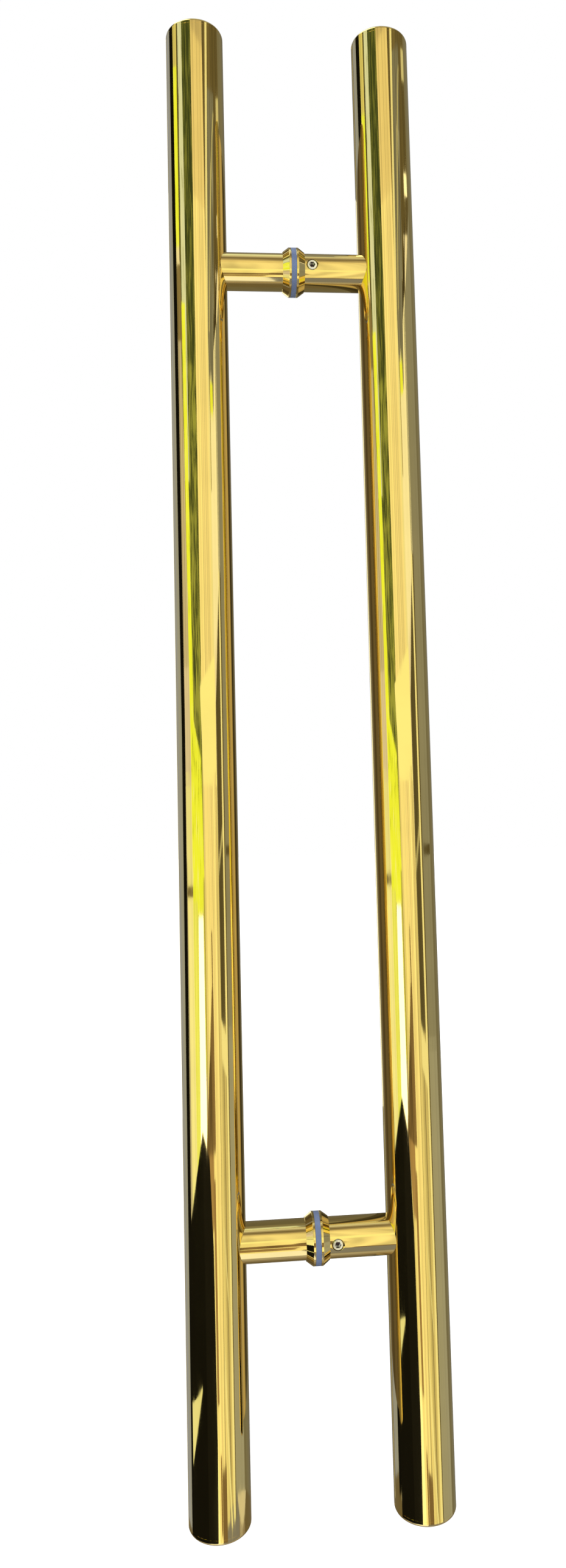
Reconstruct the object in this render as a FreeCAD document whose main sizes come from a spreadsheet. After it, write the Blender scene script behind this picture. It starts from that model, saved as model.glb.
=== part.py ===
import FreeCAD, Part
import math
import os
import re
import Sketcher

# Back-to-back ladder pull handle: two long round grips joined through a door by two split posts.
# Frame: origin at the middle of the door panel, +X across the panel from the left grip to the right
# grip, +Z up along the grips, -Y towards the person who looks at the set screws. Millimetres.

SIZES = {
    "handle_length": 800,
    "grip_diameter": 32,
    "grip_wall": 1.2,
    "grip_spacing": 106,
    "cap_thickness": 3,
    "cap_rounding": 1.7,
    "cap_spigot_length": 6,
    "cap_spigot_wall": 2,
    "cap_spigot_gap": 0.05,
    "post_spacing": 525,
    "post_diameter": 20,
    "post_wall": 1.5,
    "gasket_thickness": 1.4,
    "collar_diameter": 26,
    "collar_rim": 1.2,
    "collar_cone": 3.5,
    "collar_step": 0.5,
    "collar_edge": 0.2,
    "plug_length": 14,
    "plug_wall": 1.35,
    "plug_gap": 0.05,
    "plug_chamfer": 0.6,
    "boss_length": 16,
    "boss_gap": 0.1,
    "boss_chamfer": 0.8,
    "groove_depth": 1.35,
    "groove_gap": 0.1,
    "bolt_diameter": 6,
    "bolt_length": 35,
    "bolt_chamfer": 0.8,
    "bolt_hole_gap": 0.3,
    "thread_gap": 0.05,
    "bolt_head_diameter": 10,
    "bolt_head_height": 6,
    "bolt_head_edge": 0.5,
    "bolt_socket": 5,
    "bolt_socket_depth": 3,
    "screw_diameter": 6,
    "screw_length": 4,
    "screw_margin": 4.1,
    "screw_seat_gap": 0.05,
    "screw_point": 3,
    "screw_chamfer": 0.5,
    "screw_socket": 3,
    "screw_socket_depth": 2.2,
    "screw_hole_chamfer": 0.4,
}

# Places along a half post, from the middle of the door outwards
RIM_START = "gasket_thickness"
CONE_START = f"{RIM_START} + collar_rim"
POST_START = f"{CONE_START} + collar_cone"
PLUG_END = f"{POST_START} + plug_length"
BOSS_END = f"{RIM_START} + boss_length"
SCREW_PLACE = f"{POST_START} + screw_margin"
GRIP_AXIS = "grip_spacing / 2"

# Radii in a half post, from its outer skin inwards
GRIP_RADIUS = "grip_diameter / 2"
GRIP_BORE = f"{GRIP_RADIUS} - grip_wall"
COLLAR_RADIUS = "collar_diameter / 2"
POST_RADIUS = "post_diameter / 2"
POST_BORE = f"{POST_RADIUS} - post_wall"
PLUG_RADIUS = f"{POST_BORE} - plug_gap"
PLUG_BORE = f"{PLUG_RADIUS} - plug_wall"
BOSS_RADIUS = f"{PLUG_BORE} - boss_gap"
GROOVE_FLOOR = f"{BOSS_RADIUS} - groove_depth"
BOLT_RADIUS = "bolt_diameter / 2"
BOLT_HOLE = f"{BOLT_RADIUS} + bolt_hole_gap"
THREADED_BORE = f"{BOLT_RADIUS} + thread_gap"
SCREW_RADIUS = "screw_diameter / 2"
SCREW_HOLE = f"{SCREW_RADIUS} + thread_gap"

SIDES = {"left": -1, "right": 1}
LEVELS = {"upper": 1, "lower": -1}
ENDS = {"top": 1, "bottom": -1}

SAME_LENGTH = 1e-4
SMALLEST_CUT = 1

doc = FreeCAD.newDocument("LadderPull")


def make_sheet():
    """Driving dimensions, one aliased cell each."""
    sheet = doc.addObject("Spreadsheet::Sheet", "Sizes")
    for row, (name, value) in enumerate(SIZES.items(), start=1):
        sheet.set(f"A{row}", name)
        sheet.set(f"B{row}", str(value))
        sheet.setAlias(f"B{row}", name)
    doc.recompute()
    return sheet


def linked(text):
    """Expression in which each size name refers to its cell."""
    return re.sub(r"[a-z_]+", lambda word: f"Sizes.{word[0]}" if word[0] in SIZES else word[0], text)


def bind(item, links):
    """Tie properties of an object to size expressions."""
    for name, text in links.items():
        item.setExpression(name, linked(text))


def new_body(label):
    body = doc.addObject("PartDesign::Body", label)
    body.Label = label
    return body


def aim(body, direction, place):
    """Turn the body's own +X to a direction of the handle and tie its place to the sizes."""
    turn = FreeCAD.Rotation(FreeCAD.Vector(1, 0, 0), FreeCAD.Vector(*direction))
    body.Placement = FreeCAD.Placement(FreeCAD.Vector(), turn)
    bind(body, {f"Placement.Base.{axis}": text for axis, text in place.items()})


def plane_of(body, role):
    return next(plane for plane in body.Origin.OriginFeatures if plane.Role == role)


def new_sketch(body, name, role, shift=None):
    """Sketch on an origin plane of its body, moved along one of its own axes if asked."""
    sketch = body.newObject("Sketcher::SketchObject", name)
    sketch.AttachmentSupport = [(plane_of(body, role), "")]
    sketch.MapMode = "FlatFace"
    if shift:
        axis, text = shift
        bind(sketch, {f"AttachmentOffset.Base.{axis}": text})
    return sketch


def draw_circle(sketch, radius):
    """Circle round the sketch's origin."""
    circle = sketch.addGeometry(Part.Circle(FreeCAD.Vector(), FreeCAD.Vector(0, 0, 1), 1), False)
    sketch.addConstraint(Sketcher.Constraint("Coincident", circle, 3, -1, 1))
    size = sketch.addConstraint(Sketcher.Constraint("Radius", circle, 1))
    bind(sketch, {f"Constraints[{size}]": radius})


def draw_outline(sketch, corners):
    """Closed outline through corners, each a pair of expressions; "0" lies on the sketch's axis."""
    count = len(corners)
    rough = []
    for corner in range(count):
        angle = 2 * math.pi * corner / count
        rough.append(FreeCAD.Vector(math.cos(angle), math.sin(angle), 0))
    for corner in range(count):
        line = Part.LineSegment(rough[corner], rough[(corner + 1) % count])
        sketch.addGeometry(line, False)
    for corner, (across, up) in enumerate(corners):
        sketch.addConstraint(Sketcher.Constraint("Coincident", corner, 2, (corner + 1) % count, 1))
        for kind, axis, text in (("DistanceX", -2, across), ("DistanceY", -1, up)):
            if text == "0":
                sketch.addConstraint(Sketcher.Constraint("PointOnObject", corner, 1, axis))
            else:
                size = sketch.addConstraint(Sketcher.Constraint(kind, -1, 1, corner, 1, 1))
                bind(sketch, {f"Constraints[{size}]": text})


def revolve(body, kind, sketch, axis, name):
    """Full turn of a sketch round one of its axes, as a Revolution or a Groove."""
    feature = body.newObject(f"PartDesign::{kind}", name)
    feature.Profile = sketch
    feature.ReferenceAxis = (sketch, [axis])
    feature.Angle = 360
    return feature


def turned_body(label, corners):
    """Piece turned on a lathe: an outline of (along, radius) corners round the body's own X axis."""
    body = new_body(label)
    sketch = new_sketch(body, "Outline", "XY_Plane")
    draw_outline(sketch, corners)
    revolve(body, "Revolution", sketch, "H_Axis", "Turning")
    return body


def tube_body(label, role, outer, inner):
    """Body with the ring sketch of a tube, ready for its pad."""
    body = new_body(label)
    sketch = new_sketch(body, "Ring", role)
    draw_circle(sketch, outer)
    draw_circle(sketch, inner)
    pad = body.newObject("PartDesign::Pad", "Length")
    pad.Profile = sketch
    return body, sketch, pad


def round_edges(body, name, size, wanted):
    """Fillet on the circular edges that a test of (place along X, radius) picks."""
    doc.recompute()
    base = body.Tip
    edges = []
    for number, edge in enumerate(base.Shape.Edges, start=1):
        if isinstance(edge.Curve, Part.Circle) and wanted(edge.Curve.Center.x, edge.Curve.Radius):
            edges.append(f"Edge{number}")
    fillet = body.newObject("PartDesign::Fillet", name)
    fillet.Base = (base, edges)
    bind(fillet, {"Radius": size})


def cut_socket(body, across_flats, depth, face):
    """Hexagon socket sunk along -X into the face that an expression places on the body's X axis."""
    socket = body.newObject("PartDesign::SubtractivePrism", "HexSocket")
    socket.AttachmentSupport = [(plane_of(body, "YZ_Plane"), "")]
    socket.MapMode = "FlatFace"
    socket.Polygon = 6
    bind(socket, {
        "Circumradius": f"({across_flats}) / sqrt(3)",
        "Height": depth,
        "AttachmentOffset.Base.z": f"{face} - {depth}",
    })


def same(first, second):
    return abs(first - second) < SAME_LENGTH


def grip(side):
    """Long tube that the hand holds."""
    body, sketch, pad = tube_body(f"{side}_grip_tube", "XY_Plane", GRIP_RADIUS, GRIP_BORE)
    pad.SideType = "Symmetric"
    bind(pad, {"Length": "handle_length - 2 * cap_thickness"})
    aim(body, (1, 0, 0), {"x": f"{SIDES[side]} * {GRIP_AXIS}"})
    return body


def end_cap(side, end, sheet):
    """Disc that closes a grip, with a rounded rim and a spigot ring inside the tube."""
    spigot = f"{GRIP_BORE} - cap_spigot_gap"
    hollow = f"{spigot} - cap_spigot_wall"
    body = turned_body(f"{side}_{end}_cap", [
        ("0", "0"),
        ("cap_thickness", "0"),
        ("cap_thickness", GRIP_RADIUS),
        ("0", GRIP_RADIUS),
        ("0", spigot),
        ("-cap_spigot_length", spigot),
        ("-cap_spigot_length", hollow),
        ("0", hollow),
    ])
    round_edges(
        body, "RoundedRim", "cap_rounding",
        lambda along, radius: same(along, sheet.cap_thickness) and same(radius, sheet.grip_diameter / 2),
    )
    way = ENDS[end]
    aim(body, (0, 0, way), {
        "x": f"{SIDES[side]} * {GRIP_AXIS}",
        "z": f"{way} * (handle_length / 2 - cap_thickness)",
    })
    return body


def drill_screw_hole(body):
    """Chamfered hole for the set screw, through the wall on the body's -Y side only."""
    sketch = new_sketch(body, "ScrewHoleOutline", "XY_Plane", ("x", SCREW_PLACE))
    draw_outline(sketch, [
        ("0", "0"),
        (SCREW_HOLE, "0"),
        (SCREW_HOLE, f"screw_hole_chamfer - ({POST_RADIUS})"),
        (f"{SCREW_HOLE} + 2 * screw_hole_chamfer", f"-screw_hole_chamfer - ({POST_RADIUS})"),
        ("0", f"-screw_hole_chamfer - ({POST_RADIUS})"),
    ])
    revolve(body, "Groove", sketch, "V_Axis", "ScrewHole")


def post(level, side):
    """Half post: a tube from its collar to the grip, coped to the grip's round side."""
    body, sketch, pad = tube_body(f"{level}_{side}_post", "YZ_Plane", POST_RADIUS, POST_BORE)
    bind(sketch, {"AttachmentOffset.Base.z": POST_START})
    bind(pad, {"Length": f"{GRIP_AXIS} - ({POST_START})"})
    cope = new_sketch(body, "CopeOutline", "XY_Plane", ("x", GRIP_AXIS))
    draw_circle(cope, GRIP_RADIUS)
    pocket = body.newObject("PartDesign::Pocket", "Cope")
    pocket.Profile = cope
    pocket.Type = "ThroughAll"
    pocket.SideType = "Symmetric"
    if side == "right":
        drill_screw_hole(body)
    aim(body, (SIDES[side], 0, 0), {"z": f"{LEVELS[level]} * post_spacing / 2"})
    return body


def collar(level, side, sheet):
    """Turned end of a half post: rim and cone outside, a plug inside the post tube."""
    bore = PLUG_BORE if side == "right" else THREADED_BORE
    body = turned_body(f"{level}_{side}_collar", [
        (RIM_START, bore),
        (RIM_START, COLLAR_RADIUS),
        (CONE_START, COLLAR_RADIUS),
        (POST_START, f"{POST_RADIUS} + collar_step"),
        (POST_START, PLUG_RADIUS),
        (f"{PLUG_END} - plug_chamfer", PLUG_RADIUS),
        (PLUG_END, f"{PLUG_RADIUS} - plug_chamfer"),
        (PLUG_END, bore),
    ])
    round_edges(
        body, "RimEdges", "collar_edge",
        lambda along, radius: same(radius, sheet.collar_diameter / 2),
    )
    if side == "right":
        drill_screw_hole(body)
    aim(body, (SIDES[side], 0, 0), {"z": f"{LEVELS[level]} * post_spacing / 2"})
    return body


def gasket(level, side):
    """Flat ring between a collar and the door."""
    body = turned_body(f"{level}_{side}_gasket", [
        ("0", BOLT_HOLE),
        ("0", COLLAR_RADIUS),
        ("gasket_thickness", COLLAR_RADIUS),
        ("gasket_thickness", BOLT_HOLE),
    ])
    aim(body, (SIDES[side], 0, 0), {"z": f"{LEVELS[level]} * post_spacing / 2"})
    return body


def boss(level):
    """Fixing boss inside the right collar, with the groove that the set screw's point enters."""
    flat = "screw_point / 2 + groove_gap"
    body = turned_body(f"{level}_fixing_boss", [
        (RIM_START, BOLT_HOLE),
        (RIM_START, BOSS_RADIUS),
        (f"{SCREW_PLACE} - ({flat} + groove_depth)", BOSS_RADIUS),
        (f"{SCREW_PLACE} - ({flat})", GROOVE_FLOOR),
        (f"{SCREW_PLACE} + ({flat})", GROOVE_FLOOR),
        (f"{SCREW_PLACE} + ({flat} + groove_depth)", BOSS_RADIUS),
        (f"{BOSS_END} - boss_chamfer", BOSS_RADIUS),
        (BOSS_END, f"{BOSS_RADIUS} - boss_chamfer"),
        (BOSS_END, BOLT_HOLE),
    ])
    aim(body, (1, 0, 0), {"z": f"{LEVELS[level]} * post_spacing / 2"})
    return body


def through_bolt(level):
    """Socket-head bolt that draws the boss to the left collar through the door."""
    tip = f"{BOSS_END} - bolt_length"
    head_end = f"{BOSS_END} + bolt_head_height"
    head_radius = "bolt_head_diameter / 2"
    body = turned_body(f"{level}_through_bolt", [
        (tip, "0"),
        (tip, f"{BOLT_RADIUS} - bolt_chamfer"),
        (f"{tip} + bolt_chamfer", BOLT_RADIUS),
        (BOSS_END, BOLT_RADIUS),
        (BOSS_END, head_radius),
        (f"{head_end} - bolt_head_edge", head_radius),
        (head_end, f"{head_radius} - bolt_head_edge"),
        (head_end, "0"),
    ])
    cut_socket(body, "bolt_socket", "bolt_socket_depth", head_end)
    aim(body, (1, 0, 0), {"z": f"{LEVELS[level]} * post_spacing / 2"})
    return body


def set_screw(level):
    """Hexagon-socket set screw whose cone point seats in the boss's groove."""
    seat = f"{GROOVE_FLOOR} + screw_seat_gap"
    body = turned_body(f"{level}_set_screw", [
        ("0", "0"),
        ("0", "screw_point / 2"),
        (f"{SCREW_RADIUS} - screw_point / 2", SCREW_RADIUS),
        ("screw_length - screw_chamfer", SCREW_RADIUS),
        ("screw_length", f"{SCREW_RADIUS} - screw_chamfer"),
        ("screw_length", "0"),
    ])
    cut_socket(body, "screw_socket", "screw_socket_depth", "screw_length")
    aim(body, (0, -1, 0), {
        "x": SCREW_PLACE,
        "y": f"-({seat})",
        "z": f"{LEVELS[level]} * post_spacing / 2",
    })
    return body


def make_pieces(sheet):
    pieces = []
    for side in SIDES:
        pieces.append(grip(side))
        pieces.extend(end_cap(side, end, sheet) for end in ENDS)
    for level in LEVELS:
        for side in SIDES:
            pieces.append(post(level, side))
            pieces.append(collar(level, side, sheet))
            pieces.append(gasket(level, side))
        pieces.append(boss(level))
        pieces.append(through_bolt(level))
        pieces.append(set_screw(level))
    return pieces


def check_document():
    """Stop if a feature failed, a sketch is loose or a cut removed nothing."""
    for item in doc.Objects:
        if {"Invalid", "Error"} & set(item.State):
            raise RuntimeError(f"{item.Label} failed: {item.State}")
        if item.TypeId == "Sketcher::SketchObject" and not item.FullyConstrained:
            raise RuntimeError(f"{item.Label} isn't fully constrained")
        if item.TypeId in ("PartDesign::Pocket", "PartDesign::Groove", "PartDesign::SubtractivePrism"):
            if item.Shape.Volume > item.BaseFeature.Shape.Volume - SMALLEST_CUT:
                raise RuntimeError(f"{item.Label} cut nothing")


def export_pieces(pieces):
    os.makedirs("parts", exist_ok=True)
    for body in pieces:
        shape = body.Shape
        if shape.isNull() or not shape.isValid() or len(shape.Solids) != 1:
            raise RuntimeError(f"{body.Label} isn't one valid solid")
    for body in pieces:
        body.Shape.exportStep(f"parts/{body.Label}.step")


def main():
    sheet = make_sheet()
    pieces = make_pieces(sheet)
    doc.recompute()
    check_document()
    export_pieces(pieces)


main()
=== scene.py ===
"""Dresses the ladder pull handle: finishes for its pieces, a pale studio and the camera."""

import math

import bpy
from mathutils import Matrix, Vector


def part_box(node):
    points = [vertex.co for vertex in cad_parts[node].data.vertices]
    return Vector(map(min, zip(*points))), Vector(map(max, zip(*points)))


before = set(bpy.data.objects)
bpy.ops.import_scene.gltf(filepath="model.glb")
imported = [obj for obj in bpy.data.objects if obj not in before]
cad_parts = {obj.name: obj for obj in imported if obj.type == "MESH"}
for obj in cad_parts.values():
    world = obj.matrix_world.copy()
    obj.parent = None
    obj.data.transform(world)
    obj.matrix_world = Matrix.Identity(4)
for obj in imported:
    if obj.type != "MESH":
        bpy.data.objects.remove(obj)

bl_info = {
    "name": "Ladder Pull Handle",
    "version": (1, 0, 0),
    "blender": (4, 5, 0),
    "location": "3D View > Sidebar > Pull Handle",
    "description": "Finishes a back-to-back ladder pull handle and sets up its studio",
    "category": "Object",
}


# Places on the handle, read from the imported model

GRIP_LOW, GRIP_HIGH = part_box("right_grip_tube")
GRIP_AXIS = (GRIP_LOW.x + GRIP_HIGH.x) / 2
HANDLE_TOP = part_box("right_top_cap")[1].z
POST_LOW, POST_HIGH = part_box("upper_right_post")
POST_HEIGHT = (POST_LOW.z + POST_HIGH.z) / 2
SCREW_LOW, SCREW_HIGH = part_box("upper_set_screw")
SCREW_PLACE = (SCREW_LOW.x + SCREW_HIGH.x) / 2
SOCKET_RADIUS = 0.00176

LEVELS = ("upper", "lower")
SIDES = ("left", "right")


# Places of the cards, from the middle of the handle

CARD_FOOT = -1.045
CARD_HEAD = 1.75
CARD_STEP = 0.012
CARD_COLUMNS = 24
CEILING = 1.73
GROUND = -1.04
BEHIND_GRIP = GRIP_AXIS - 0.005


# The camera that was fitted to the photograph, with its turn in degrees

CAMERA_PLACE = (-0.0449, -0.5455, -0.0273)
CAMERA_TURN = (94.296, 1.433, -4.805)
CAMERA_SENSOR = 36.0
CAMERA_LENS = 23.12
CAMERA_SHIFT_X = -0.01551
CAMERA_SHIFT_Y = -0.0454


# Settings that a user would change


class GoldSettings(bpy.types.PropertyGroup):
    """Mirror-polished gold of the grips, posts and collars"""

    colour: bpy.props.FloatVectorProperty(
        name="Gold",
        description="Colour of the polished gold",
        subtype="COLOR",
        size=3,
        min=0.0,
        max=1.0,
        default=(0.88, 0.68, 0.26),
    )
    polish: bpy.props.FloatProperty(
        name="Roughness",
        description="Roughness left by the buffing wheel",
        subtype="FACTOR",
        min=0.0,
        max=1.0,
        default=0.045,
    )
    waviness: bpy.props.FloatProperty(
        name="Waviness",
        description="Depth of the long soft waves that buffing leaves in the tube",
        subtype="DISTANCE",
        unit="LENGTH",
        precision=5,
        min=0.0,
        default=0.00004,
    )


class GasketSettings(bpy.types.PropertyGroup):
    """Rubber gaskets between the collars and the door"""

    colour: bpy.props.FloatVectorProperty(
        name="Rubber",
        description="Colour of the blue-grey rubber",
        subtype="COLOR",
        size=3,
        min=0.0,
        max=1.0,
        default=(0.14, 0.19, 0.34),
    )
    roughness: bpy.props.FloatProperty(
        name="Roughness",
        description="Roughness of the moulded rubber",
        subtype="FACTOR",
        min=0.0,
        max=1.0,
        default=0.45,
    )


class SteelSettings(bpy.types.PropertyGroup):
    """Set screws, bolts and fixing bosses"""

    colour: bpy.props.FloatVectorProperty(
        name="Steel",
        description="Colour of the turned steel",
        subtype="COLOR",
        size=3,
        min=0.0,
        max=1.0,
        default=(0.62, 0.62, 0.63),
    )
    screw_colour: bpy.props.FloatVectorProperty(
        name="Set Screw",
        description="Colour of the brighter steel of the set screws",
        subtype="COLOR",
        size=3,
        min=0.0,
        max=1.0,
        default=(0.72, 0.72, 0.73),
    )
    roughness: bpy.props.FloatProperty(
        name="Roughness",
        description="Roughness of the turned steel",
        subtype="FACTOR",
        min=0.0,
        max=1.0,
        default=0.24,
    )


class StudioSettings(bpy.types.PropertyGroup):
    """Floor, lamps and the cards that the gold mirrors"""

    floor_depth: bpy.props.FloatProperty(
        name="Floor Depth",
        description="How far the floor lies below the middle of the handle",
        subtype="DISTANCE",
        unit="LENGTH",
        default=1.05,
    )
    floor_colour: bpy.props.FloatVectorProperty(
        name="Floor",
        description="Colour of the pale floor",
        subtype="COLOR",
        size=3,
        min=0.0,
        max=1.0,
        default=(0.86, 0.86, 0.85),
    )
    card_distance: bpy.props.FloatProperty(
        name="Card Distance",
        description="How far the cards stand from the handle",
        subtype="DISTANCE",
        unit="LENGTH",
        default=1.0,
    )
    sky_light: bpy.props.FloatProperty(
        name="Sky Light",
        description="Strength of the even light from all sides",
        min=0.0,
        default=0.5,
    )


# Small helpers for node trees


def empty_tree(owner):
    """The nodes and links of a material or world, with nothing in them."""
    owner.use_nodes = True
    nodes, links = owner.node_tree.nodes, owner.node_tree.links
    nodes.clear()
    return nodes, links


def new_material(name, shader_type, surface):
    """A material of one shader that is joined to its output."""
    material = bpy.data.materials.new(name)
    nodes, links = empty_tree(material)
    output = nodes.new("ShaderNodeOutputMaterial")
    shader = nodes.new(shader_type)
    links.new(shader.outputs[surface], output.inputs["Surface"])
    return material, nodes, links, shader


def new_finish(name):
    """A material with a Principled shader, for a piece of the handle."""
    return new_material(name, "ShaderNodeBsdfPrincipled", "BSDF")


def new_glow(name):
    """A glowing material, for a card."""
    return new_material(name, "ShaderNodeEmission", "Emission")


def calculate(nodes, links, operation, first, second=None):
    """A math node on one or two values."""
    node = nodes.new("ShaderNodeMath")
    node.operation = operation
    links.new(first, node.inputs[0])
    if second is not None:
        links.new(second, node.inputs[1])
    return node.outputs["Value"]


def place_from_middle(nodes, links):
    """Object X and Y, and the height above or below the middle of the handle."""
    place = nodes.new("ShaderNodeTexCoord")
    split = nodes.new("ShaderNodeSeparateXYZ")
    links.new(place.outputs["Object"], split.inputs["Vector"])
    height = calculate(nodes, links, "ABSOLUTE", split.outputs["Z"])
    return split.outputs["X"], split.outputs["Y"], height


def stretched_noise(nodes, links, scale, stretch=(1.0, 1.0, 1.0), detail=2.0, roughness=0.5):
    """A noise on Object coordinates, stretched by the three factors."""
    place = nodes.new("ShaderNodeTexCoord")
    mapping = nodes.new("ShaderNodeMapping")
    mapping.inputs["Scale"].default_value = stretch
    links.new(place.outputs["Object"], mapping.inputs["Vector"])
    noise = nodes.new("ShaderNodeTexNoise")
    noise.inputs["Scale"].default_value = scale
    noise.inputs["Detail"].default_value = detail
    noise.inputs["Roughness"].default_value = roughness
    links.new(mapping.outputs["Vector"], noise.inputs["Vector"])
    return noise.outputs["Fac"]


def spread(nodes, links, value, low, high, to_low, to_high):
    """Spreads a value between two new limits."""
    node = nodes.new("ShaderNodeMapRange")
    node.inputs["From Min"].default_value = low
    node.inputs["From Max"].default_value = high
    node.inputs["To Min"].default_value = to_low
    node.inputs["To Max"].default_value = to_high
    links.new(value, node.inputs["Value"])
    return node.outputs["Result"]


def blend_colours(nodes, links, factor, first, second):
    """Mixes two colours by a value."""
    node = nodes.new("ShaderNodeMix")
    node.data_type = "RGBA"
    node.inputs["A"].default_value = (*first, 1.0)
    node.inputs["B"].default_value = (*second, 1.0)
    links.new(factor, node.inputs["Factor"])
    return node.outputs["Result"]


def tint(nodes, links, factor, below, colour):
    """Lays one more colour over a colour, by a value."""
    node = nodes.new("ShaderNodeMix")
    node.data_type = "RGBA"
    node.inputs["B"].default_value = (*colour, 1.0)
    links.new(factor, node.inputs["Factor"])
    links.new(below, node.inputs["A"])
    return node.outputs["Result"]


def bump(nodes, links, height, distance, below=None):
    """A bump whose full height is the distance, on top of another one."""
    node = nodes.new("ShaderNodeBump")
    node.inputs["Strength"].default_value = 1.0
    node.inputs["Distance"].default_value = distance
    links.new(height, node.inputs["Height"])
    if below is not None:
        links.new(below, node.inputs["Normal"])
    return node.outputs["Normal"]


def shade(colour, factor):
    """The colour made darker or lighter."""
    return tuple(min(1.0, channel * factor) for channel in colour)


# Finishes


def polished_gold(name, grain):
    """Mirror gold with soft buffing waves along the grain and faint wiping marks."""
    settings = bpy.context.scene.handle_gold
    colour = tuple(settings.colour)
    material, nodes, links, shader = new_finish(name)
    along = tuple(1.0 if axis == grain else 9.0 for axis in "xyz")
    waves = stretched_noise(nodes, links, 3.2, along, detail=1.0)
    fine = stretched_noise(nodes, links, 60.0, along, detail=3.0)
    wiped = stretched_noise(nodes, links, 26.0, detail=4.0, roughness=0.6)
    tone = spread(nodes, links, wiped, 0.35, 0.65, 0.0, 1.0)
    links.new(
        blend_colours(nodes, links, tone, shade(colour, 0.97), shade(colour, 1.03)),
        shader.inputs["Base Color"],
    )
    links.new(
        spread(nodes, links, fine, 0.3, 0.7, settings.polish * 0.6, settings.polish * 1.5),
        shader.inputs["Roughness"],
    )
    deep = bump(nodes, links, waves, settings.waviness * 4.0)
    shallow = bump(nodes, links, fine, settings.waviness * 0.05, below=deep)
    links.new(shallow, shader.inputs["Normal"])
    shader.inputs["Metallic"].default_value = 1.0
    return material


def moulded_rubber(name):
    """Blue-grey rubber with a fine moulded skin."""
    settings = bpy.context.scene.handle_gasket
    colour = tuple(settings.colour)
    material, nodes, links, shader = new_finish(name)
    cloud = stretched_noise(nodes, links, 180.0, detail=3.0)
    grain = stretched_noise(nodes, links, 2600.0)
    tone = spread(nodes, links, cloud, 0.3, 0.7, 0.0, 1.0)
    links.new(
        blend_colours(nodes, links, tone, shade(colour, 0.9), shade(colour, 1.12)),
        shader.inputs["Base Color"],
    )
    links.new(
        spread(nodes, links, grain, 0.3, 0.7, settings.roughness * 0.85, settings.roughness * 1.15),
        shader.inputs["Roughness"],
    )
    links.new(bump(nodes, links, grain, 0.00004), shader.inputs["Normal"])
    shader.inputs["Specular IOR Level"].default_value = 0.45
    return material


def turned_steel(name, colour, roughness, axis, centre):
    """Steel with the fine rings of a lathe round an axis."""
    material, nodes, links, shader = new_finish(name)
    joined = nodes.new("ShaderNodeCombineXYZ")
    for source, axis_name in zip(place_from_middle(nodes, links), "XYZ"):
        links.new(source, joined.inputs[axis_name])
    mapping = nodes.new("ShaderNodeMapping")
    mapping.inputs["Location"].default_value = tuple(-value for value in centre)
    links.new(joined.outputs["Vector"], mapping.inputs["Vector"])
    rings = nodes.new("ShaderNodeTexWave")
    rings.wave_type = "RINGS"
    rings.rings_direction = axis.upper()
    rings.inputs["Scale"].default_value = 900.0
    rings.inputs["Distortion"].default_value = 1.2
    rings.inputs["Detail"].default_value = 2.0
    links.new(mapping.outputs["Vector"], rings.inputs["Vector"])
    marks = stretched_noise(nodes, links, 420.0, detail=3.0)
    tone = spread(nodes, links, marks, 0.3, 0.7, 0.0, 1.0)
    links.new(
        blend_colours(nodes, links, tone, shade(colour, 0.86), shade(colour, 1.08)),
        shader.inputs["Base Color"],
    )
    links.new(
        spread(nodes, links, rings.outputs["Fac"], 0.0, 1.0, roughness * 0.75, roughness * 1.35),
        shader.inputs["Roughness"],
    )
    links.new(bump(nodes, links, rings.outputs["Fac"], 0.000012), shader.inputs["Normal"])
    shader.inputs["Metallic"].default_value = 1.0
    return material


def painted_screw_shading(material, centre, face, radius):
    """Paints shade into a screw's key socket and onto its bevelled rim, and paints a highlight on its
    outer side.
    """
    nodes, links = material.node_tree.nodes, material.node_tree.links
    shader = next(node for node in nodes if node.type == "BSDF_PRINCIPLED")
    bare = shader.inputs["Base Color"].links[0].from_socket
    across, depth, height = place_from_middle(nodes, links)
    flat = nodes.new("ShaderNodeCombineXYZ")
    links.new(across, flat.inputs["X"])
    links.new(height, flat.inputs["Z"])
    distance = nodes.new("ShaderNodeVectorMath")
    distance.operation = "DISTANCE"
    distance.inputs[1].default_value = (centre[0], 0.0, centre[2])
    links.new(flat.outputs["Vector"], distance.inputs[0])
    away = distance.outputs["Value"]
    # Painted highlight: the screw face is whitened towards its outer side, as if light fell there.
    painted_side_highlight = spread(nodes, links, across, centre[0] - radius, centre[0] + radius, 0.0, 0.85)
    # Painted shade: a dark brown ring on the bevelled rim round the screw face, where the gap to the
    # hole lies.
    painted_chamfer_shade = spread(nodes, links, away, radius * 1.43, radius * 1.58, 0.0, 0.85)
    # Painted shade: the deep inside of the key socket turns near-black.
    inside = spread(nodes, links, away, radius * 0.62, radius * 1.04, 1.0, 0.0)
    deep = spread(nodes, links, depth, face + 0.00005, face + 0.0004, 0.0, 1.0)
    painted_socket_shade = calculate(nodes, links, "MULTIPLY", inside, deep)
    # The painted highlight, then the painted shade of the rim and of the key socket, laid over the
    # steel.
    colour = tint(nodes, links, painted_side_highlight, bare, (1.0, 1.0, 1.0))
    colour = tint(nodes, links, painted_chamfer_shade, colour, (0.1, 0.085, 0.05))
    colour = tint(nodes, links, painted_socket_shade, colour, (0.05, 0.036, 0.045))
    links.new(colour, shader.inputs["Base Color"])


def dress(material, *names):
    """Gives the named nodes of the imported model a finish."""
    for name in names:
        piece = bpy.data.objects[name]
        for slot in piece.material_slots:
            slot.material = material


# Studio pieces


def glow(name, colour, strength, streaks=0.0):
    """A plain glowing finish for a card, with upright streaks if asked for."""
    material, nodes, links, light = new_glow(name)
    light.inputs["Color"].default_value = (*colour, 1.0)
    light.inputs["Strength"].default_value = strength
    if streaks > 0.0:
        upright = stretched_noise(nodes, links, 22.0, (1.0, 1.0, 0.02))
        low, high = strength * (1.0 - streaks), strength * (1.0 + streaks * 0.4)
        streaked = spread(nodes, links, upright, 0.36, 0.6, low, high)
        links.new(streaked, light.inputs["Strength"])
    return material


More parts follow.
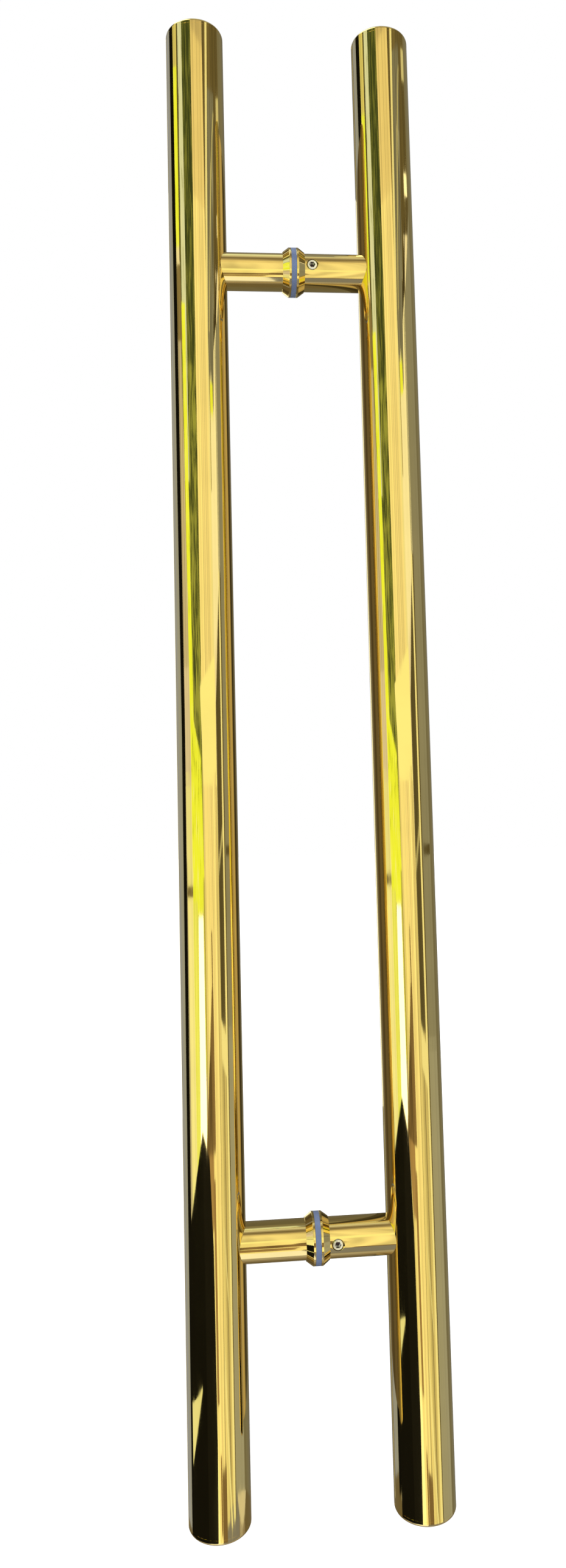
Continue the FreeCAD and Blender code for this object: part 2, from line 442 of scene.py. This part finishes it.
def leafy_glow(name, dark, leaf, light_gap, share, size):
    """The finish of a planted card: dark leaves, lit leaves and gaps of light.

    The share, from 0 to 1, is how much of it the lit leaves and the gaps take.
    """
    material, nodes, links, light = new_glow(name)
    light.inputs["Strength"].default_value = 1.2
    leaves = stretched_noise(nodes, links, size, (1.0, 1.0, 1.2), detail=5.0, roughness=0.7)
    ramp = nodes.new("ShaderNodeValToRGB")
    middle = 0.72 - 0.44 * share
    first, last = ramp.color_ramp.elements
    first.position = middle - 0.05
    first.color = (*dark, 1.0)
    last.position = middle + 0.3
    last.color = (*light_gap, 1.0)
    for offset in (0.03, 0.18):
        ramp.color_ramp.elements.new(middle + offset).color = (*leaf, 1.0)
    links.new(leaves, ramp.inputs["Fac"])
    links.new(ramp.outputs["Color"], light.inputs["Color"])
    return material


def mirrored_card(name, columns, place, finish):
    """A card that only mirror reflections see.

    The function called place puts each of its corners, which lie from 0 to 1 along and up.
    """
    bpy.ops.object.select_all(action="DESELECT")
    bpy.ops.mesh.primitive_grid_add(x_subdivisions=columns, y_subdivisions=1, size=1.0)
    piece = bpy.context.active_object
    piece.name = name
    for corner in piece.data.vertices:
        corner.co = place(corner.co.x + 0.5, corner.co.y + 0.5)
    piece.data.materials.append(finish)
    piece.visible_camera = False
    piece.visible_diffuse = False
    piece.visible_shadow = False
    piece.visible_transmission = False
    piece.visible_volume_scatter = False


def pair(value):
    """The same number twice, unless there are two already."""
    return value if isinstance(value, tuple) else (value, value)


def between(low, high, part):
    """The number that lies a part of the way from one to the other."""
    return low + (high - low) * part


def leafy_card(name, left, right, bottom, top, finish, step):
    """An upright curved card. Left and right are degrees round the handle, 0 in front.

    Left and right may each give the place of the foot and of the top, and bottom and top
    may each give the height of the left and of the right side. A step brings it nearer.
    """
    distance = bpy.context.scene.handle_studio.card_distance - CARD_STEP * step
    left, right, bottom, top = pair(left), pair(right), pair(bottom), pair(top)

    def place(along, up):
        level = round(up)
        angle = math.radians(between(left[level], right[level], along))
        height = between(*(top if level else bottom), along)
        return distance * math.sin(angle), -distance * math.cos(angle), height

    mirrored_card(name, CARD_COLUMNS, place, finish)


def card(name, left, right, bottom, top, strength, colour=(1.0, 1.0, 1.0), step=0, streaks=0.0):
    """An upright curved card of one colour, placed as a leafy card is."""
    finish = glow(name + "_glow", colour, strength, streaks)
    leafy_card(name, left, right, bottom, top, finish, step)


def flat_card(name, low, high, height, strength, colour):
    """A level card over or under the handle, from one corner to the other."""

    def place(along, up):
        return between(low[0], high[0], along), between(low[1], high[1], up), height

    mirrored_card(name, 1, place, glow(name + "_glow", colour, strength))


def side_card(name, across, near, far, strength, colour):
    """An upright card behind one grip, which darkens the edge of the other grip."""

    def place(along, up):
        return across, between(near, far, along), between(-HANDLE_TOP, HANDLE_TOP, up)

    mirrored_card(name, 1, place, glow(name + "_glow", colour, strength, 0.4))


def lamp(name, place, size, power):
    """A soft square lamp that points at the middle of the handle."""
    light = bpy.data.lights.new(name, "AREA")
    light.shape = "SQUARE"
    light.size = size
    light.energy = power
    piece = bpy.data.objects.new(name, light)
    bpy.context.collection.objects.link(piece)
    piece.location = place
    piece.rotation_euler = (-Vector(place)).to_track_quat("-Z", "Y").to_euler()
    piece.visible_glossy = False


# One operator for each group of like pieces


class HANDLE_OT_grips(bpy.types.Operator):
    """Finish the grip tubes and their caps in mirror gold"""

    bl_idname = "pull_handle.grips"
    bl_label = "Grips"

    def execute(self, context):
        gold = polished_gold("grip_gold", "z")
        for side in SIDES:
            dress(gold, f"{side}_grip_tube", f"{side}_top_cap", f"{side}_bottom_cap")
        return {"FINISHED"}


class HANDLE_OT_posts(bpy.types.Operator):
    """Finish the posts and their collars in mirror gold"""

    bl_idname = "pull_handle.posts"
    bl_label = "Posts"

    def execute(self, context):
        gold = polished_gold("post_gold", "x")
        for level in LEVELS:
            for side in SIDES:
                dress(gold, f"{level}_{side}_post", f"{level}_{side}_collar")
        return {"FINISHED"}


class HANDLE_OT_gaskets(bpy.types.Operator):
    """Finish the gaskets in blue-grey rubber"""

    bl_idname = "pull_handle.gaskets"
    bl_label = "Gaskets"

    def execute(self, context):
        rubber = moulded_rubber("gasket_rubber")
        for level in LEVELS:
            dress(rubber, f"{level}_left_gasket", f"{level}_right_gasket")
        return {"FINISHED"}


class HANDLE_OT_fixings(bpy.types.Operator):
    """Finish the set screws, bolts and bosses in turned steel"""

    bl_idname = "pull_handle.fixings"
    bl_label = "Fixings"

    def execute(self, context):
        settings = context.scene.handle_steel
        dull, bright = tuple(settings.colour), tuple(settings.screw_colour)
        middle = (0.0, 0.0, POST_HEIGHT)
        steel = turned_steel("boss_steel", dull, settings.roughness, "x", middle)
        screw = (SCREW_PLACE, 0.0, POST_HEIGHT)
        screw_steel = turned_steel("screw_steel", bright, settings.roughness * 0.7, "y", screw)
        # Paints shade into the key socket and the bevelled rim of the set screws, and a highlight on
        # one side of their faces.
        painted_screw_shading(screw_steel, screw, SCREW_LOW.y, SOCKET_RADIUS)
        for level in LEVELS:
            dress(steel, f"{level}_fixing_boss", f"{level}_through_bolt")
            dress(screw_steel, f"{level}_set_screw")
        return {"FINISHED"}


class HANDLE_OT_stage(bpy.types.Operator):
    """Set up the floor, the lamps and the white surroundings"""

    bl_idname = "pull_handle.stage"
    bl_label = "Stage"

    def execute(self, context):
        settings = context.scene.handle_studio
        depth = settings.floor_depth
        bpy.ops.object.select_all(action="DESELECT")
        bpy.ops.mesh.primitive_plane_add(size=30.0, location=(0.0, 0.0, -depth))
        floor = context.active_object
        floor.name = "floor"
        floor.data.materials.append(self.floor_finish(tuple(settings.floor_colour)))
        lamp("key_lamp", (-1.3, -1.7, 1.3), 1.1, 26.0)
        lamp("fill_lamp", (1.8, -1.2, 0.4), 1.2, 14.0)
        lamp("top_lamp", (0.2, 0.9, 2.0), 1.4, 14.0)
        self.surroundings(context.scene, settings.sky_light)
        context.scene.view_settings.view_transform = "Standard"
        return {"FINISHED"}

    def floor_finish(self, colour):
        """Pale matt floor that looks white to the camera and keeps the shadow."""
        material = bpy.data.materials.new("floor_paint")
        nodes, links = empty_tree(material)
        output = nodes.new("ShaderNodeOutputMaterial")
        paint = nodes.new("ShaderNodeBsdfDiffuse")
        paint.inputs["Color"].default_value = (*colour, 1.0)
        white = nodes.new("ShaderNodeEmission")
        path = nodes.new("ShaderNodeLightPath")
        place = nodes.new("ShaderNodeTexCoord")
        away = nodes.new("ShaderNodeVectorMath")
        away.operation = "LENGTH"
        links.new(place.outputs["Object"], away.inputs[0])
        outwards = spread(nodes, links, away.outputs["Value"], 1.2, 3.0, 0.5, 1.0)
        lift = calculate(nodes, links, "MULTIPLY", path.outputs["Is Camera Ray"], outwards)
        links.new(lift, white.inputs["Strength"])
        both = nodes.new("ShaderNodeAddShader")
        links.new(paint.outputs["BSDF"], both.inputs[0])
        links.new(white.outputs["Emission"], both.inputs[1])
        links.new(both.outputs["Shader"], output.inputs["Surface"])
        return material

    def surroundings(self, scene, strength):
        """White to the camera and to mirrors, and a plain even light on the handle."""
        world = bpy.data.worlds.new("studio")
        scene.world = world
        nodes, links = empty_tree(world)
        output = nodes.new("ShaderNodeOutputWorld")
        seen = nodes.new("ShaderNodeBackground")
        seen.inputs["Color"].default_value = (1.0, 1.0, 1.0, 1.0)
        light = nodes.new("ShaderNodeBackground")
        light.inputs["Color"].default_value = (1.0, 1.0, 1.0, 1.0)
        light.inputs["Strength"].default_value = strength
        rays = nodes.new("ShaderNodeLightPath").outputs
        looked_at = rays["Is Camera Ray"]
        for ray in ("Is Glossy Ray", "Is Transmission Ray"):
            looked_at = calculate(nodes, links, "MAXIMUM", looked_at, rays[ray])
        mix = nodes.new("ShaderNodeMixShader")
        links.new(looked_at, mix.inputs["Fac"])
        links.new(light.outputs["Background"], mix.inputs[1])
        links.new(seen.outputs["Background"], mix.inputs[2])
        links.new(mix.outputs["Shader"], output.inputs["Surface"])


class HANDLE_OT_cards(bpy.types.Operator):
    """Stand the cards round the handle that draw the streaks in the gold"""

    bl_idname = "pull_handle.cards"
    bl_label = "Cards"

    def execute(self, context):
        self.left_side()
        self.front()
        self.right_side()
        self.above_and_below()
        return {"FINISHED"}

    def left_side(self):
        """A dark post, a wall, planted beds, a bright window and a black cloth."""
        foot, head = CARD_FOOT, CARD_HEAD
        white = (1.0, 1.04, 0.98)
        bluish = (0.9, 1.03, 1.5)
        straw = (1.0, 1.08, 0.8)
        lemon = (0.84, 1.05, 0.1)
        brown = (1.0, 0.86, 0.55)
        card("back_wall_left", -150.0, -96.0, foot, head, 0.4, bluish, 0, 0.15)
        card("left_dark_post", (-119.0, -106.5), (-101.0, -88.5), foot, 0.05, 0.006, step=4)
        card("left_dark_post_top", (-106.5, -129.0), (-88.5, -103.0), 0.05, head, 0.006, step=4)
        card("left_wall_top", (-93.0, -95.0), (-70.0, -76.0), 0.62, 0.75, 0.3, brown, 2, 0.3)
        card("left_wall", (-89.0, -94.0), (-64.0, -76.0), 0.15, 0.64, 0.64, (1.0, 0.97, 1.0), 2, 0.4)
        card("left_wall_low", -89.0, (-62.0, -64.0), -0.02, 0.16, 0.8, (1.0, 0.97, 1.1), 2, 0.3)
        card("left_wall_foot", -88.0, -61.0, -0.165, 0.0, 0.95, straw, 2, 0.2)
        card("left_wall_line", -89.0, -61.0, -0.175, -0.16, 0.2, brown, 3)
        card("left_planks", (-88.0, -88.0), (-60.0, -61.0), -0.75, -0.17, 1.08, straw, 2, 0.12)
        sunny = leafy_glow("sunny_leaves", (0.22, 0.28, 0.03), lemon, white, 0.74, 16.0)
        dusky = leafy_glow("dusky_leaves", (0.045, 0.065, 0.028), (0.2, 0.24, 0.08), lemon, 0.41, 13.0)
        lit_bed = leafy_glow("lit_leaves", (0.05, 0.07, 0.03), (0.32, 0.38, 0.11), lemon, 0.5, 13.0)
        cloudy = leafy_glow("cloudy_leaves", (0.2, 0.24, 0.1), (0.66, 0.8, 0.9), white, 0.7, 12.0)
        leafy_card("garden_top", -76.0, -17.0, 0.6, head, dusky, 1)
        leafy_card("garden", -76.0, -17.0, -0.2, 0.61, lit_bed, 1)
        leafy_card("window_gap", (-70.0, -74.0), (-51.0, -58.0), 0.42, head, cloudy, 3)
        leafy_card("window_bush", -98.0, -78.0, 0.77, 1.05, sunny, 3)
        card("window_top", -98.0, -78.0, 1.05, head, 0.85, (1.0, 1.0, 0.5), 3, 0.3)
        card("window_bar", -78.5, -74.0, 0.74, head, 0.1, brown, 4)
        leafy_card("yellow_streak", (-63.0, -73.0), (-49.0, -58.0), 0.02, 0.68, sunny, 4)
        leafy_card("yellow_bank", -63.0, (-17.0, -24.0), -0.2, (0.1, 0.02), sunny, 4)
        card("yellow_foot", -64.0, -45.0, -0.66, -0.18, 0.98, (1.0, 1.18, 0.36), 5, 0.3)
        card("bright_window", (-50.0, -43.0), (-24.0, -25.0), -0.56, -0.2, 3.0, step=6)
        card("bush_end", (-28.0, -23.0), (-6.0, -10.0), -0.42, -0.15, 0.7, (0.95, 1.0, 0.3), 5, 0.5)
        card("black_cloth", -106.0, -44.0, -0.8, (-0.408, -0.322), 0.008, step=48)
        card("black_cloth_side", -44.0, -20.8, -0.8, (-0.322, -0.352), 0.012, step=48)
        card("black_cloth_end", -20.8, (-9.5, -11.7), -0.6, (-0.352, -0.433), 0.012, step=48)
        card("black_cloth_foot", -20.8, (-17.0, -9.5), -0.8, -0.6, 0.012, step=48)
        card("cloth_gap", -103.0, -59.0, (-0.585, -0.526), (-0.535, -0.522), 0.95, straw, 49)

    def front(self):
        """Upright boards with a wider end piece, and darker strips beside them."""
        foot, head = CARD_FOOT, CARD_HEAD
        wood = (1.0, 0.96, 0.63)
        tan = (1.0, 0.95, 0.65)
        brown = (1.0, 0.72, 0.42)
        card("front_wall", -19.0, 36.0, foot, 0.15, 0.98, wood, 5, 0.2)
        card("upper_boards_top", -18.0, 28.0, 0.85, head, 0.92, (1.0, 0.91, 0.6), 6, 0.24)
        card("boards_dim", -18.0, 28.0, 1.1, 1.27, 0.66, (1.0, 0.9, 0.64), 7, 0.2)
        card("boards_dark", -18.0, 28.0, 1.25, 1.45, 0.48, (1.0, 0.88, 0.64), 8, 0.2)
        card("boards_darkest", -18.0, 28.0, 1.43, head, 0.35, (1.0, 0.86, 0.64), 9, 0.2)
        card("upper_boards", -18.0, -2.0, 0.1, 0.87, 1.12, wood, 6, 0.2)
        card("upper_tan_boards", -2.0, 28.0, 0.1, 0.87, 1.03, tan, 6, 0.3)
        card("board_end", (-16.0, -24.0), 35.0, -0.02, (0.12, 0.17), 1.16, (1.0, 1.05, 0.67), 7)
        card("lower_boards", (-4.0, -14.0), (4.0, 2.0), foot, 0.0, 1.16, wood, 7, 0.16)
        card("lower_tan_boards", (4.0, 2.0), (20.0, 30.0), foot, 0.0, 1.2, tan, 7, 0.34)
        card("board_gap", (19.5, 29.0), (22.5, 31.0), foot, 0.0, 0.55, wood, 8)
        card("brown_slit", 2.5, 6.0, -0.38, -0.22, 0.22, brown, 9)
        card("brown_shape", (-30.0, 1.0), 6.5, -0.52, -0.3, 0.26, brown, 8, 0.6)
        card("tan_shape", (-14.0, -26.0), -2.0, -0.62, -0.5, 0.5, brown, 8, 0.3)
        card("brown_strip", -4.0, 3.0, -0.84, -0.55, 0.36, brown, 9, 0.4)
        card("red_spot", 4.0, 8.0, -1.0, -0.9, 0.2, (1.0, 0.5, 0.2), 10)
        card("olive_foot", 9.0, 25.0, foot, -0.93, 0.24, brown, 9)
        card("cream_foot", (-20.0, -13.0), (-1.0, -6.0), foot, -0.82, 1.4, (1.0, 1.04, 0.8), 11)

    def right_side(self):
        """A cream wall with a dark door, pale frames and a plain grey wall."""
        foot, head = CARD_FOOT, CARD_HEAD
        white = (1.0, 1.04, 1.0)
        cream = (1.0, 1.02, 0.76)
        grey = (0.94, 1.0, 1.08)
        wood = (1.0, 0.94, 0.6)
        brown = (1.0, 0.86, 0.5)
        card("right_shade", 24.0, 72.0, 0.3, head, 0.2, brown, 0, 0.5)
        card("right_olive", (30.0, 44.0), (48.0, 78.0), 0.5, 1.1, 0.26, grey, 1, 0.5)
        card("cream_beam", (24.0, 42.0), (31.0, 51.0), 0.62, 1.2, 1.0, cream, 4)
        card("cream_strip", (26.0, 26.0), (35.0, 33.0), 0.0, 0.66, 1.02, cream, 4)
        card("brown_wedge", 24.0, (28.0, 38.0), 0.95, 1.3, 0.14, brown, 3)
        card("tan_line", (37.0, 57.0), (40.0, 62.0), 0.68, 0.96, 0.62, cream, 3)
        card("tan_line_top", (57.0, 72.0), (62.0, 77.0), 0.95, 1.05, 0.55, cream, 3)
        card("grey_line", (57.0, 62.0), (62.0, 68.0), 0.72, 0.95, 0.42, grey, 3)
        card("cream_wall", 29.0, 68.0, (0.15, 0.3), (0.56, 0.74), 1.12, (1.0, 1.03, 0.98), 2, 0.05)
        card("dark_edge", (45.0, 50.0), (72.0, 85.0), (0.62, 0.72), (0.66, 0.84), 0.06, brown, 2)
        card("yellow_spot", 37.0, 48.0, 0.54, 0.59, 1.0, (1.0, 1.2, 0.1), 5)
        card("tan_post", 34.0, 37.0, 0.42, 0.6, 0.5, wood, 5)
        card("right_low_wall", 33.0, 60.0, foot, -0.34, 0.66, wood, 3, 0.6)
        card("dark_door", (36.0, 37.0), 60.0, -0.37, (0.1, 0.3), 0.12, (1.0, 0.9, 0.56), 4, 0.15)
        card("door_line", 37.0, 61.0, (-0.15, -0.08), (-0.13, -0.06), 0.6, cream, 5)
        card("door_sill", 32.0, 60.0, (-0.41, -0.45), (-0.35, -0.39), 1.05, cream, 5)
        card("low_beam", (43.0, 22.0), (49.0, 27.0), -1.07, -0.8, 1.05, cream, 6)
        card("low_line", (46.0, 29.0), (49.0, 33.0), -0.76, -0.64, 0.9, cream, 6)
        card("frame", (50.0, 58.0), (59.0, 64.0), foot, 0.3, 1.05, cream, 6)
        card("frame_edge", (59.0, 64.0), (62.0, 69.0), foot, 0.3, 0.12, brown, 6)
        card("right_wall", 60.0, 108.0, -0.4, (0.66, 0.84), 0.32, grey, 2, 0.06)
        card("right_wall_foot", 60.0, 108.0, foot, -0.38, 0.42, (0.94, 1.02, 1.16), 2, 0.1)
        card("right_wall_line", 70.0, 106.0, -0.125, -0.11, 0.1, brown, 3)
        card("right_top_wall", 68.0, 122.0, 0.8, head, 0.16, brown, 1, 0.5)
        card("white_spot", 84.0, 102.0, 0.84, 0.875, 1.5, white, 4)
        card("cream_spot", 90.0, 106.0, 1.02, 1.07, 0.7, cream, 4)
        card("back_wall_right", 106.0, 150.0, foot, head, 0.22, (0.98, 0.98, 0.85), 2, 0.2)
        side_card("right_grip_shade", BEHIND_GRIP, 0.018, 0.056, 0.5, (1.0, 0.8, 0.4))
        side_card("right_grip_edge", BEHIND_GRIP, 0.056, 0.12, 0.07, brown)
        side_card("left_grip_shade", -BEHIND_GRIP, 0.018, 0.12, 0.13, (1.0, 0.8, 0.5))

    def above_and_below(self):
        """Level cards, and the plain wall behind with a few openings."""
        foot, head = CARD_FOOT, CARD_HEAD
        white = (1.0, 1.04, 1.0)
        pale = (1.0, 1.03, 0.95)
        grey = (0.94, 1.0, 1.08)
        wood = (1.0, 0.96, 0.63)
        brown = (1.0, 0.86, 0.6)
        card("back_wall", 148.0, 212.0, foot, head, 0.17, (1.0, 0.95, 0.8), 0, 0.1)
        card("back_window", 184.0, 197.0, -0.5, 0.9, 1.3, white, 2)
        card("back_boards", 199.0, 204.0, foot, head, 0.8, wood, 3, 0.2)
        over, under = CEILING, GROUND
        flat_card("ceiling", (-1.4, -1.4), (1.4, 1.4), over + 0.01, 0.25, (1.0, 0.95, 0.75))
        flat_card("ceiling_front", (-0.9, -1.0), (0.9, -0.62), over + 0.005, 0.22, brown)
        flat_card("ceiling_tan", (-0.9, -0.62), (0.9, -0.38), over, 0.42, (1.0, 0.92, 0.8))
        flat_card("ceiling_pale", (-0.9, -0.38), (0.9, -0.06), over, 0.72, pale)
        flat_card("ceiling_light", (-0.9, -0.06), (0.11, 0.25), over, 0.98, (0.95, 1.1, 1.05))
        flat_card("ceiling_soft", (-0.9, 0.25), (0.11, 0.44), over, 0.6, (0.95, 1.05, 1.0))
        flat_card("ceiling_grey", (0.11, -0.06), (0.9, 0.4), over, 0.33, grey)
        flat_card("skylight", (-1.2, -0.9), (-0.3, 0.6), over - 0.01, 3.0, white)
        flat_card("floor_boards", (-0.9, -1.0), (0.9, 1.1), under - 0.005, 0.17, brown)
        flat_card("floor_grey", (-0.9, -1.0), (0.9, -0.24), under - 0.002, 0.27, (0.94, 1.0, 1.4))
        flat_card("floor_light", (-0.4, -0.92), (0.065, -0.22), under, 1.15, (1.0, 1.06, 1.25))
        flat_card("floor_pale", (-0.9, -0.22), (0.9, 0.0), under, 0.45, (1.0, 0.97, 1.0))
        flat_card("floor_tan", (-0.9, 0.0), (0.9, 0.2), under, 0.31, (1.0, 0.9, 0.85))


class HANDLE_OT_camera(bpy.types.Operator):
    """Place the camera at the photograph's viewing angle"""

    bl_idname = "pull_handle.camera"
    bl_label = "Camera"

    def execute(self, context):
        data = bpy.data.cameras.new("camera")
        data.sensor_width = CAMERA_SENSOR
        data.lens = CAMERA_LENS
        data.shift_x = CAMERA_SHIFT_X
        data.shift_y = CAMERA_SHIFT_Y
        data.clip_start = 0.01
        camera = bpy.data.objects.new("camera", data)
        context.collection.objects.link(camera)
        camera.location = CAMERA_PLACE
        camera.rotation_euler = [math.radians(angle) for angle in CAMERA_TURN]
        context.scene.camera = camera
        return {"FINISHED"}


class HANDLE_PT_panel(bpy.types.Panel):
    """Settings and steps of the pull handle"""

    bl_label = "Pull Handle"
    bl_idname = "HANDLE_PT_panel"
    bl_space_type = "VIEW_3D"
    bl_region_type = "UI"
    bl_category = "Pull Handle"

    def draw(self, context):
        scene = context.scene
        self.section(scene.handle_gold, ("colour", "polish", "waviness"), ("grips", "posts"))
        self.section(scene.handle_gasket, ("colour", "roughness"), ("gaskets",))
        self.section(scene.handle_steel, ("colour", "screw_colour", "roughness"), ("fixings",))
        studio = ("floor_depth", "floor_colour", "card_distance", "sky_light")
        self.section(scene.handle_studio, studio, ("stage", "cards", "camera"))

    def section(self, settings, names, steps):
        """The named settings, then the buttons of the steps that use them."""
        for name in names:
            self.layout.prop(settings, name)
        for step in steps:
            self.layout.operator(f"pull_handle.{step}")


CLASSES = (
    GoldSettings,
    GasketSettings,
    SteelSettings,
    StudioSettings,
    HANDLE_OT_grips,
    HANDLE_OT_posts,
    HANDLE_OT_gaskets,
    HANDLE_OT_fixings,
    HANDLE_OT_stage,
    HANDLE_OT_cards,
    HANDLE_OT_camera,
    HANDLE_PT_panel,
)


def register():
    for item in CLASSES:
        bpy.utils.register_class(item)
    bpy.types.Scene.handle_gold = bpy.props.PointerProperty(type=GoldSettings)
    bpy.types.Scene.handle_gasket = bpy.props.PointerProperty(type=GasketSettings)
    bpy.types.Scene.handle_steel = bpy.props.PointerProperty(type=SteelSettings)
    bpy.types.Scene.handle_studio = bpy.props.PointerProperty(type=StudioSettings)


def unregister():
    del bpy.types.Scene.handle_studio
    del bpy.types.Scene.handle_steel
    del bpy.types.Scene.handle_gasket
    del bpy.types.Scene.handle_gold
    for item in reversed(CLASSES):
        bpy.utils.unregister_class(item)


def main():
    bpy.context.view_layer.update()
    register()
    bpy.ops.pull_handle.camera()
    bpy.ops.pull_handle.grips()
    bpy.ops.pull_handle.posts()
    bpy.ops.pull_handle.gaskets()
    bpy.ops.pull_handle.fixings()
    bpy.ops.pull_handle.stage()
    bpy.ops.pull_handle.cards()


if __name__ == "__main__":
    main()
